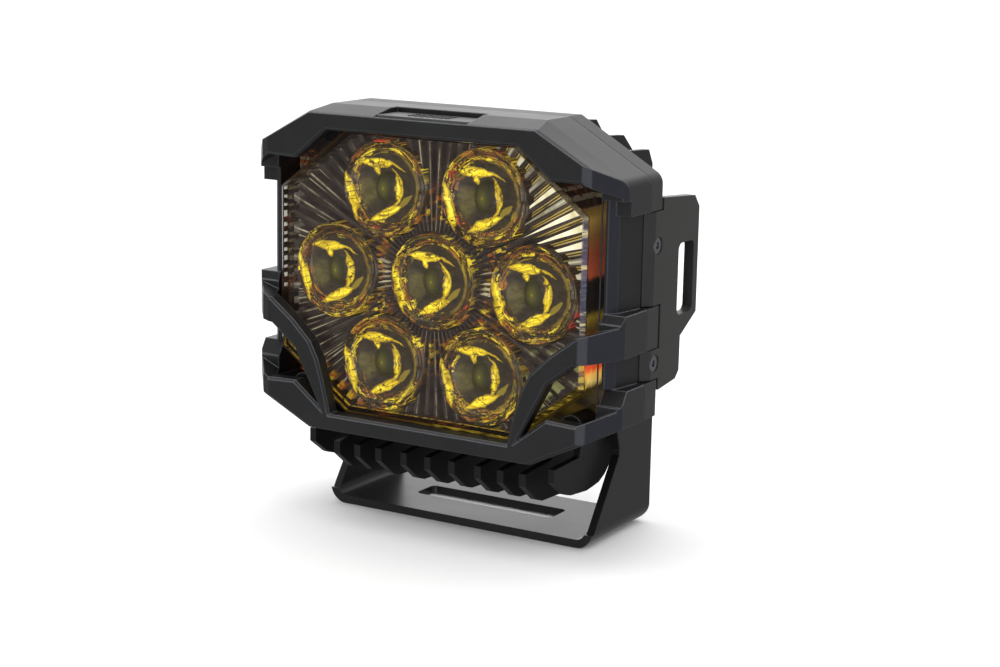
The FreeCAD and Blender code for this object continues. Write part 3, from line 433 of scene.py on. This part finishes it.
def lens_material():
    """Clear amber moulding: nearly clear over the front, smoky brown with painted red and gold light in the
    side walls, which glow.
    """
    material, tree = new_material("lens_amber")
    place = row_place(tree)
    x, y, z = split(tree, place)
    depth = y - LENS_LOW.y
    height = (z - LENS_LOW.z) * (1.0 / (LENS_HIGH.z - LENS_LOW.z))
    streaks = noise(tree, vector_of(tree, x * 0.5, y * 3.0, z), 130.0, 4.0, 0.65, warp=0.8)

    wall = depth.rise(1.85 * MM, 2.3 * MM)
    smoke = mix(tree, streaks, (0.30, 0.14, 0.06), (0.70, 0.45, 0.16))
    clear = tree.nodes.new("ShaderNodeBsdfTransparent")
    put(tree, clear.inputs["Color"], mix(tree, wall, (0.965, 0.95, 0.905), smoke))
    glow = lens_walls(tree, place, depth, height, streaks)
    # Painted light: the side walls glow with the painted colours of the light in them.
    body = principled(tree, Base_Color=glow, Roughness=0.22, Emission_Color=glow, Emission_Strength=0.62)

    # The upper right corner is cut off: slope is the distance from the origin along its normal.
    bevel = depth.band(0.04 * MM, 0.12 * MM, 1.30 * MM, 1.45 * MM)
    slope = x * 0.621 + z * 0.783
    corner = slope.rise(109.5 * MM, 110.5 * MM) * x.rise(20.0 * MM, 26.0 * MM)
    corner = corner * z.rise(101.0 * MM, 103.5 * MM)
    line = lens_bevel(tree, place, height, corner)
    # Painted light: the bevel glows with its painted highlights.
    edge = principled(tree, Base_Color=line, Roughness=0.15, Emission_Color=line, Emission_Strength=0.6)

    gloss = tree.nodes.new("ShaderNodeBsdfGlossy")
    gloss.inputs["Roughness"].default_value = 0.03
    fresnel = tree.nodes.new("ShaderNodeFresnel")
    fresnel.inputs["IOR"].default_value = 1.45
    inside = blend(tree, wall * 0.86, Sock(tree, clear.outputs[0]), body)
    inside = blend(tree, bevel * (corner * -0.52 + 0.7), inside, edge)
    shine = Sock(tree, fresnel.outputs[0]) * 0.34
    finish_with(tree, blend(tree, shine, inside, Sock(tree, gloss.outputs[0])))
    return material


# ---------------------------------------------------------------- reflector

RIBS = 72
# How bright the painted pale reflection is on the ribs of the first quarter, counted from the right and, seen
# from in front, anticlockwise. A rib that isn't named is like the one before it.
WEDGE_REFLECTIONS = {0: 0.0, 1: 0.55, 2: 0.20, 3: 1.0, 6: 0.30, 7: 0.95, 8: 0.22, 9: 0.16, 10: 0.62, 11: 0.14, 13: 0.0}


def rib_lines(tree, rib, across, radius, angle, luck, patch):
    """Painted reflections as thin lines on the ribs, strongest at the top, the bottom and near the plate's
    edge.
    """
    sine = angle.math("SINE").size()
    outer = radius.rise(33.0, 47.0)
    thin = across.rise(0.085, 0.03)
    reach = (outer * 0.7).high(sine.rise(0.955, 0.99) * 0.6)
    line = thin * (luck.rise(0.42, 0.60) * 0.75 + 0.08) * reach * patch.rise(0.36, 0.60)
    other = noise(tree, vector_of(tree, rib * 0.61, 5.0, radius * 0.05), 1.0, 2.0)
    beside = across.near(0.40, 0.06, 0.02) * other.rise(0.46, 0.56) * outer * patch.rise(0.30, 0.50)
    middle = thin * radius.near(18.5, 2.8, 1.8) * sine.rise(0.32, 0.15) * luck.rise(0.38, 0.5)
    return line.high(beside * 0.7).high(middle)


def reflector_material():
    """Dark metallised sunburst plate with painted reflections: pale wedges on some ribs, thin dull lines on
    the others; it glows with its painted colour.
    """
    material, tree = new_material("reflector_chrome")
    x, _, z = split(tree, row_place(tree))
    low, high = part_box("reflector_plate")
    up = z - (low.z + high.z) / 2
    radius = (x * x + up * up).root() * (1.0 / MM)
    angle = up.math("ARCTAN2", x)
    turn = angle * (RIBS / (2 * math.pi))
    rib = turn.math("FLOOR")
    across = (turn - rib - 0.5).size()
    luck = noise(tree, vector_of(tree, rib * 0.77, 3.0, 0.0), 1.0, 1.0)
    grain = noise(tree, vector_of(tree, angle * 46.0, radius * 0.10, 3.0), 1.0, 4.0, 0.65)
    patch = noise(tree, vector_of(tree, rib * 0.41, 8.0, radius * 0.16), 1.0, 3.0, 0.6)

    # Painted reflections: cream wedges at the upper right, widening outwards.
    quarter = RIBS // 4
    levels = [(step / quarter, (level, level, level)) for step, level in WEDGE_REFLECTIONS.items()]
    pick = ramp(tree, (rib + 0.5) * (1.0 / quarter), levels, hard=True)
    pick = split(tree, pick)[0] * up.rise(0.0, 0.5 * MM) * x.rise(0.0, 2.0 * MM)
    spread = (radius - 34.0) * (0.235 / 20.0)
    wedge_reflection = (across - spread).rise(0.035, -0.02) * radius.rise(33.0, 36.0) * pick
    seam = across.near(0.42, 0.05, 0.02) * radius.rise(35.0, 39.0) * pick.rise(0.05, 0.15)

    line = rib_lines(tree, rib, across, radius, angle, luck, patch)
    dashes = across.rise(0.24, 0.14) * up.rise(-14.0 * MM, -20.0 * MM) * x.rise(30.0 * MM, 36.0 * MM)
    dashes = dashes * patch.rise(0.44, 0.58) * 0.8

    # Painted reflections: faint teeth at the left edge, orange and gold ones along the lower left.
    teeth_at = across.rise(0.34, 0.24)
    teeth = teeth_at * (x - low.x).rise(2.4 * MM, 1.9 * MM) * up.rise(-17.0 * MM, -13.0 * MM)
    teeth = teeth * luck.rise(0.40, 0.55) * 0.12
    lower = (x * -0.6 - up * 0.8).rise(45.5 * MM, 48.5 * MM) * up.rise(8.0 * MM, -12.0 * MM)

    # Painted reflections: broken gold between the optics.
    shards = voronoi(tree, vector_of(tree, x * 760.0, 0.0, z * 760.0), 1.0, "F1", "Color")
    chance, hue, _ = split(tree, shards)
    between = radius.rise(17.0, 19.0) * radius.rise(30.0, 25.0)
    broken = between * chance.rise(0.46, 0.54) * grain.rise(0.38, 0.50)
    fire = ramp(tree, hue, [(0.0, (0.10, 0.042, 0.010)), (0.35, (0.24, 0.13, 0.015)),
                            (0.60, (0.62, 0.47, 0.03)), (0.80, (0.30, 0.095, 0.02))], hard=True)

    dark = mix(tree, grain.rise(0.3, 0.7), (0.018, 0.0130, 0.0130), (0.050, 0.037, 0.035))
    embers = mix(tree, chance.rise(0.4, 0.6), (0.30, 0.085, 0.015), (0.42, 0.28, 0.02))
    cream = mix(tree, patch.rise(0.30, 0.60), (0.66, 0.60, 0.36), (0.93, 0.91, 0.76))
    colour = mix(tree, line, dark, (0.66, 0.61, 0.44))
    colour = mix(tree, dashes, colour, (0.50, 0.52, 0.22))
    colour = mix(tree, broken * 0.85, colour, fire)
    colour = mix(tree, lower * teeth_at, colour, embers)
    colour = mix(tree, teeth, colour, (0.66, 0.64, 0.58))
    colour = mix(tree, seam * grain.rise(0.36, 0.50), colour, (0.52, 0.38, 0.07))
    colour = mix(tree, wedge_reflection, colour, cream)
    normal = bump(tree, grain, 0.2, 0.05 * MM)
    # Painted light: the plate glows with its painted reflections, though it is no lamp.
    shader = principled(tree, Base_Color=colour, Roughness=0.34, Metallic=0.3, Specular_IOR_Level=0.3,
                        Normal=normal, Emission_Color=colour, Emission_Strength=0.60)
    finish_with(tree, shader)
    return material


def emitter_material():
    """Phosphor of the light sources."""
    material, tree = new_material("led_phosphor")
    grain = noise(tree, row_place(tree), 3000.0, 2.0)
    colour = mix(tree, grain, (0.80, 0.62, 0.05), (0.95, 0.80, 0.12))
    finish_with(tree, principled(tree, Base_Color=colour, Roughness=grain * 0.2 + 0.3))
    return material


FINISHES = {
    "front_guard": GUARD,
    "housing": HOUSING,
    "centre_fins": FINS,
    "side_fins": FINS,
    "corner_fins": FINS,
    "left_ear": EAR,
    "right_ear": EAR,
    "u_bracket": BRACKET,
    "badge_plate": BADGE,
    "lens": lens_material(),
    "lens_gasket": RUBBER,
    "reflector_plate": reflector_material(),
    "led_emitters": emitter_material(),
    "led_board": BOARD,
    "driver_board": BOARD,
    "thermal_pad": PAD,
    "heat_spreader": ALUMINIUM,
    "ear_screws": OXIDE,
    "guard_screws": OXIDE,
    "pivot_bolts": OXIDE,
    "board_screws": ZINC,
    "pivot_washers": ZINC,
    "spring_washers": ZINC,
    "cable_gland": NYLON,
    "gland_nut": NYLON,
    "breather": NYLON,
}


# ---------------------------------------------------------------- optics

OPTICS = ["optic_centre", "optic_left", "optic_right", "optic_top_left", "optic_top_right",
          "optic_bottom_left", "optic_bottom_right"]
RIM = 14.4
LIP = 0.9
BOWL_DEPTH = 2.9
DOME_RADIUS = 4.6
DOME_HEIGHT = 1.7
SHARDS_FROM = 10.2
SHARD_HEIGHT = 0.55
WALL_DEPTH = 6.5
RINGS = 56
SPOKES = 120


def relief(radius):
    """Depth of an optic's painted surface behind its rim, in millimetres, at a radius."""
    if radius > RIM - LIP:
        return 0.25 * (RIM - radius)
    bowl = BOWL_DEPTH * (1.0 - (radius / (RIM - LIP)) ** 2) ** 0.7 + 0.22
    dome = DOME_HEIGHT * max(0.0, 1.0 - (radius / DOME_RADIUS) ** 2) ** 0.5
    return bowl - dome


def shard_relief(radius, ring, spoke, seed):
    """Extra depth of the shards near the rim, in millimetres. A shard is 5 spokes by 4 rings."""
    if radius <= SHARDS_FROM:
        return 0.0
    row = math.floor(ring / 4)
    cell = math.floor(spoke / 5 + seed * 1.7 + row * 0.5)
    fade = min(1.0, (radius - SHARDS_FROM) / 1.5) * min(1.0, (RIM - radius) / 0.6)
    return SHARD_HEIGHT * math.sin(cell * 12.9898 + row * 78.233 + seed * 3.1) * fade


def optic_mesh(name, seed):
    """Round relief with a polar grid. The point attribute optic_at holds local x and z in mm and a seed."""
    mesh = bmesh.new()
    places = []
    rows = []
    centre = mesh.verts.new((0.0, relief(0.0) * MM, 0.0))
    places.append((0.0, 0.0, seed))
    for ring in range(1, RINGS + 1):
        radius = RIM * ring / RINGS
        row = []
        for spoke in range(SPOKES):
            angle = 2 * math.pi * spoke / SPOKES
            depth = relief(radius) + shard_relief(radius, ring, spoke, seed)
            x = radius * math.cos(angle)
            z = radius * math.sin(angle)
            row.append(mesh.verts.new((x * MM, depth * MM, z * MM)))
            places.append((x, z, seed))
        rows.append(row)
    for spoke in range(SPOKES):
        following = (spoke + 1) % SPOKES
        mesh.faces.new((centre, rows[0][following], rows[0][spoke]))
        for inner, outer in zip(rows, rows[1:]):
            mesh.faces.new((inner[spoke], inner[following], outer[following], outer[spoke]))
    # Short wall behind the rim, so that the piece has a side.
    back = [mesh.verts.new((v.co.x, WALL_DEPTH * MM, v.co.z)) for v in rows[-1]]
    for spoke in range(SPOKES):
        following = (spoke + 1) % SPOKES
        places.append((back[spoke].co.x / MM, back[spoke].co.z / MM, seed))
        mesh.faces.new((rows[-1][spoke], rows[-1][following], back[following], back[spoke]))
    mesh.normal_update()
    data = bpy.data.meshes.new(name)
    mesh.to_mesh(data)
    mesh.free()
    layer = data.attributes.new("optic_at", "FLOAT_VECTOR", "POINT")
    layer.data.foreach_set("vector", [value for place in places for value in place])
    data.polygons.foreach_set("use_smooth", [True] * len(data.polygons))
    return data


class OpticPlace:
    """A place on an optic in millimetres: plain (x, z), shaken by noise (wx, wz), and polar."""

    def __init__(self, tree):
        self.x, self.z, self.seed = split(tree, attribute(tree, "optic_at"))
        shake = vector_of(tree, self.x * 0.30, self.z * 0.30, self.seed)
        self.sx, self.sz, _ = split(tree, noise(tree, shake, 1.0, 3.0, 0.6, colour=True))
        self.wx = self.x + (self.sx - 0.5) * 1.7
        self.wz = self.z + (self.sz - 0.5) * 1.7
        self.radius = (self.x * self.x + self.z * self.z).root()
        self.angle = self.z.math("ARCTAN2", self.x)
        # 0 at the optic's left and right, 1 at its top and bottom.
        self.steep = self.angle.math("SINE").size()

    def about(self, cx, cz, squeeze=1.0):
        """Shaken distance and angle about another centre."""
        dx = (self.wx - cx) * squeeze
        dz = self.wz - cz
        return (dx * dx + dz * dz).root(), dz.math("ARCTAN2", dx)

    def leaf(self, cx, cz, length, width, degrees):
        """How far inside a pointed leaf the place lies. length and width are half the leaf's own."""
        along_x = math.cos(math.radians(degrees))
        along_z = math.sin(math.radians(degrees))
        along = (self.wx - cx) * along_x + (self.wz - cz) * along_z
        aside = (self.wz - cz) * along_x - (self.wx - cx) * along_z
        return (1.0 - along * along * (1.0 / length ** 2)) * width - aside.size()


# Painted reflections shaped as leaves, as x, z, half their length, half their width and their lean in
# degrees.
DULL_REFLECTION = (5.9, -3.8, 3.6, 1.1, 42.0)
BRIGHT_REFLECTIONS = [
    (-12.0, -3.0, 9.0, 1.25, -74.0),  # sliver at the left
    (-3.9, 6.9, 6.0, 1.65, 0.0),  # flat leaf on top
    (2.8, 6.4, 4.2, 0.45, -22.0),  # its tail
    (-4.1, 4.9, 2.2, 1.0, -66.0),  # its hook
    (-0.6, -7.9, 6.2, 1.65, 26.0),  # leaf below
]
# Centre and radius of the painted arc of reflected light, in millimetres.
ARC_CENTRE = (-1.8, -0.4)
ARC_RADIUS = 6.75


def optic_rim(tree, at, cells):
    """Painted reflections laid round the optic: flames of brown, orange and gold with a little red, with dark
    cracks.
    """
    pick = split(tree, voronoi(tree, cells, 1.0, "F1", "Color"))[0]
    crack = voronoi(tree, cells, 1.0, "DISTANCE_TO_EDGE").rise(0.015, 0.09)
    colour = ramp(tree, pick, [(0.0, (0.022, 0.014, 0.008)), (0.20, (0.100, 0.040, 0.014)),
                               (0.36, (0.26, 0.090, 0.018)), (0.50, (0.15, 0.095, 0.012)),
                               (0.60, (0.46, 0.30, 0.020)), (0.76, (0.90, 0.70, 0.04)),
                               (0.88, (0.40, 0.15, 0.02)), (0.975, (0.50, 0.035, 0.02))], hard=True)
    strands_at = vector_of(tree, at.angle * 2.6 + at.wx * 0.15, at.radius * 3.4 + at.sx * 5.0, at.seed)
    strands = noise(tree, strands_at, 1.0, 7.0, 0.8)
    colour = mix(tree, strands.rise(0.44, 0.55), (0.022, 0.014, 0.009), colour)
    colour = mix(tree, strands.rise(0.57, 0.63) * at.steep.rise(0.35, 0.80), colour, (0.90, 0.68, 0.035))
    return mix(tree, crack, (0.010, 0.007, 0.004), colour)


def optic_pupil(tree, at):
    """Share and colour of the dark pupil with a soft painted highlight in it."""
    x = (at.x + 1.4) * 1.48
    z = at.z + 0.4
    radius = (x * x + z * z).root()
    colour = ramp(tree, radius / 6.0, [(0.0, (0.26, 0.23, 0.02)), (0.10, (0.085, 0.080, 0.013)),
                                       (0.45, (0.036, 0.034, 0.009)), (0.85, (0.013, 0.012, 0.005))])
    return radius.rise(5.2, 4.6), colour


def optic_bright(tree, at):
    """Share and colour of the bright painted reflections: an arc at the right and the leaves. Also their
    brush marks.
    """
    ring_r, ring_a = at.about(*ARC_CENTRE)
    thick = (ring_a * 1.28).math("COSINE") * (at.sx * 0.9 + 0.60)
    inside = (ARC_RADIUS - ring_r).low(ring_r - ARC_RADIUS + thick * 2.0)
    for shape in BRIGHT_REFLECTIONS:
        inside = inside.high(at.leaf(*shape))
    curve = noise(tree, vector_of(tree, at.wx * 0.20 + at.sz, at.wz * 0.26, at.seed), 1.0, 1.0)
    other = noise(tree, vector_of(tree, at.wx * 0.34, at.wz * 0.20 + at.sx, at.seed + 7.0), 1.0, 1.0)
    vein = (curve - 0.5).size().rise(0.004, 0.016).low((other - 0.48).size().rise(0.004, 0.016))
    brush_at = vector_of(tree, ring_r * 1.5 + at.wx * 0.1, ring_a * 0.8, at.seed + 4.0)
    brush = noise(tree, brush_at, 1.0, 6.0, 0.7)
    yellow = ramp(tree, brush, [(0.32, (0.20, 0.13, 0.006)), (0.42, (0.50, 0.35, 0.010)),
                                (0.50, (0.78, 0.60, 0.014)), (0.60, (0.98, 0.86, 0.04)),
                                (0.70, (1.0, 0.93, 0.16))])
    yellow = mix(tree, inside.rise(0.0, 0.85), (0.30, 0.19, 0.008), yellow)
    yellow = mix(tree, vein, (0.10, 0.062, 0.006), yellow)
    return inside.rise(-0.04, 0.16), yellow, brush


def optic_material():
    """Amber optic with its light painted on: bright yellow reflections round a dark pupil, shards of
    reflected light at the rim, all glowing.
    """
    material, tree = new_material("optic_amber")
    at = OpticPlace(tree)
    cells = vector_of(tree, at.angle * 3.0 + at.sx * 4.0, at.wx * 0.12 + at.radius * 0.9 + at.sz * 3.0,
                      at.seed * 5.0)
    # The painted reflections at the rim are livelier at its top, bottom and left than at its right.
    lively = at.steep.rise(0.05, 0.60).high(at.x.rise(2.0, -9.0))
    rim_share = (at.radius + (at.sz - 0.5) * 3.0).rise(9.3, 10.9) * (lively * 0.85 + 0.15)

    # Smoky glass in the middle with painted reflections: olive at its left, and a thin dull arc inside the
    # right of the rim.
    smoke = noise(tree, vector_of(tree, at.x * 0.35, at.z * 0.5, at.seed + 9.0), 1.0, 5.0, 0.7)
    colour = mix(tree, smoke.rise(0.3, 0.7), (0.013, 0.0095, 0.0075), (0.038, 0.027, 0.017))
    olive = mix(tree, smoke.rise(0.3, 0.7), (0.045, 0.038, 0.012), (0.115, 0.095, 0.026))
    colour = mix(tree, at.about(-7.6, -2.0, 1.1)[0].rise(5.6, 2.4) * 0.85, colour, olive)
    colour = mix(tree, rim_share, colour, optic_rim(tree, at, cells))
    arc = at.radius.near(10.6, 0.9, 0.1) * at.x.rise(4.0, 8.5) * smoke.rise(0.3, 0.55)
    colour = mix(tree, arc * 0.75, colour, (0.21, 0.155, 0.025))

    pupil, inner = optic_pupil(tree, at)
    colour = mix(tree, pupil, colour, inner)
    colour = mix(tree, at.leaf(*DULL_REFLECTION).rise(-0.05, 0.3), colour, (0.20, 0.155, 0.018))
    bright, yellow, brush = optic_bright(tree, at)
    colour = mix(tree, bright * (1.0 - pupil), colour, yellow)

    height = voronoi(tree, cells, 1.0) * rim_share + brush * 0.3
    normal = bump(tree, height, 0.5, 0.3 * MM)
    # Painted light: the optic glows with its painted colour, though it is no lamp.
    shader = principled(tree, Base_Color=colour, Roughness=0.30, Normal=normal, Coat_Weight=0.15,
                        Coat_Roughness=0.06, Emission_Color=colour, Emission_Strength=0.58)
    finish_with(tree, shader)
    return material


OPTIC = optic_material()
for index, name in enumerate(OPTICS):
    low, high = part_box(name)
    piece = bpy.data.objects.new(name + "_face", optic_mesh(name + "_face", index * 2.37 + 1.0))
    piece.data.materials.append(OPTIC)
    scene.collection.objects.link(piece)
    piece.location = ((low.x + high.x) / 2, low.y + 0.1 * MM, (low.z + high.z) / 2)
    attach(piece, "lamp")
    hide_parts(name)

for name, material in FINISHES.items():
    data = nodes[name].data
    data.materials.clear()
    data.materials.append(material)


# ---------------------------------------------------------------- floor, light and sky

FLOOR_REACH = 14.0
FLOOR_DROP = 0.1 * MM
WHITE_STRENGTH = 1.10
STUDIO = (0.36, 0.36, 0.37)
# Soft panels of the studio: direction, angles in degrees where a panel is full and where it ends, colour.
PANELS = [
    ((-0.50, -0.84, -0.20), 10, 50, (0.42, 0.42, 0.42)),
    ((0.91, -0.40, -0.15), 6, 30, (0.72, 0.75, 1.15)),
    ((0.26, -0.94, -0.15), 5, 24, (3.2, 3.3, 3.9)),
    ((-0.45, 0.80, 0.26), 16, 52, (1.72, 1.72, 1.74)),
    ((0.0, 0.0, 1.0), 20, 70, (0.95, 0.95, 0.96)),
]


def add_floor():
    data = bpy.data.meshes.new("floor")
    data.from_pydata([(-FLOOR_REACH, -FLOOR_REACH, 0), (FLOOR_REACH, -FLOOR_REACH, 0),
                      (FLOOR_REACH, FLOOR_REACH, 0), (-FLOOR_REACH, FLOOR_REACH, 0)], [], [(0, 1, 2, 3)])
    floor = bpy.data.objects.new("floor", data)
    floor.location.z = -FLOOR_DROP
    scene.collection.objects.link(floor)
    material, tree = new_material("floor_pale")
    cloud = noise(tree, row_place(tree), 3.0, 2.0)
    base = mix(tree, cloud, (0.93, 0.93, 0.93), (0.955, 0.955, 0.955))
    finish_with(tree, principled(tree, Base_Color=base, Roughness=cloud * 0.1 + 0.7, Specular_IOR_Level=0.15))
    data.materials.append(material)
    floor.visible_glossy = False


def add_area(name, place, target, size, power):
    data = bpy.data.lights.new(name, "AREA")
    data.shape = "RECTANGLE"
    data.size, data.size_y = size
    data.energy = power
    light = bpy.data.objects.new(name, data)
    light.location = place
    light.rotation_mode = "QUATERNION"
    light.rotation_quaternion = (Vector(target) - Vector(place)).to_track_quat("-Z", "Y")
    scene.collection.objects.link(light)


def background(tree, colour, strength):
    node = tree.nodes.new("ShaderNodeBackground")
    put(tree, node.inputs["Color"], colour)
    node.inputs["Strength"].default_value = strength
    return Sock(tree, node.outputs[0])


def add_sky():
    """White for the floor and background, and a darker studio with soft panels for reflections."""
    world = bpy.data.worlds.new("studio")
    scene.world = world
    world.use_nodes = True
    tree = world.node_tree
    tree.nodes.clear()
    facing = Sock(tree, tree.nodes.new("ShaderNodeTexCoord").outputs["Generated"])
    studio = STUDIO
    for direction, inner, outer, colour in PANELS:
        towards = dot(tree, facing, Vector(direction).normalized())
        near = towards.rise(math.cos(math.radians(outer)), math.cos(math.radians(inner)))
        studio = mix(tree, near, studio, colour)
    glossy = Sock(tree, tree.nodes.new("ShaderNodeLightPath").outputs["Is Glossy Ray"])
    seen = blend(tree, glossy, background(tree, (1, 1, 1), WHITE_STRENGTH), background(tree, studio, 1.0))
    output = tree.nodes.new("ShaderNodeOutputWorld")
    tree.links.new(seen.socket, output.inputs["Surface"])


add_floor()
add_sky()
add_area("key", (-0.4, -0.5, 1.5), (0, 0, 0.06), (0.9, 0.9), 5.0)
add_area("top", (0.1, 0.6, 1.5), (0, 0, 0.08), (1.2, 1.2), 7.0)

scene.view_settings.view_transform = "Standard"
scene.view_settings.look = "None"
scene.view_settings.exposure = 0.0
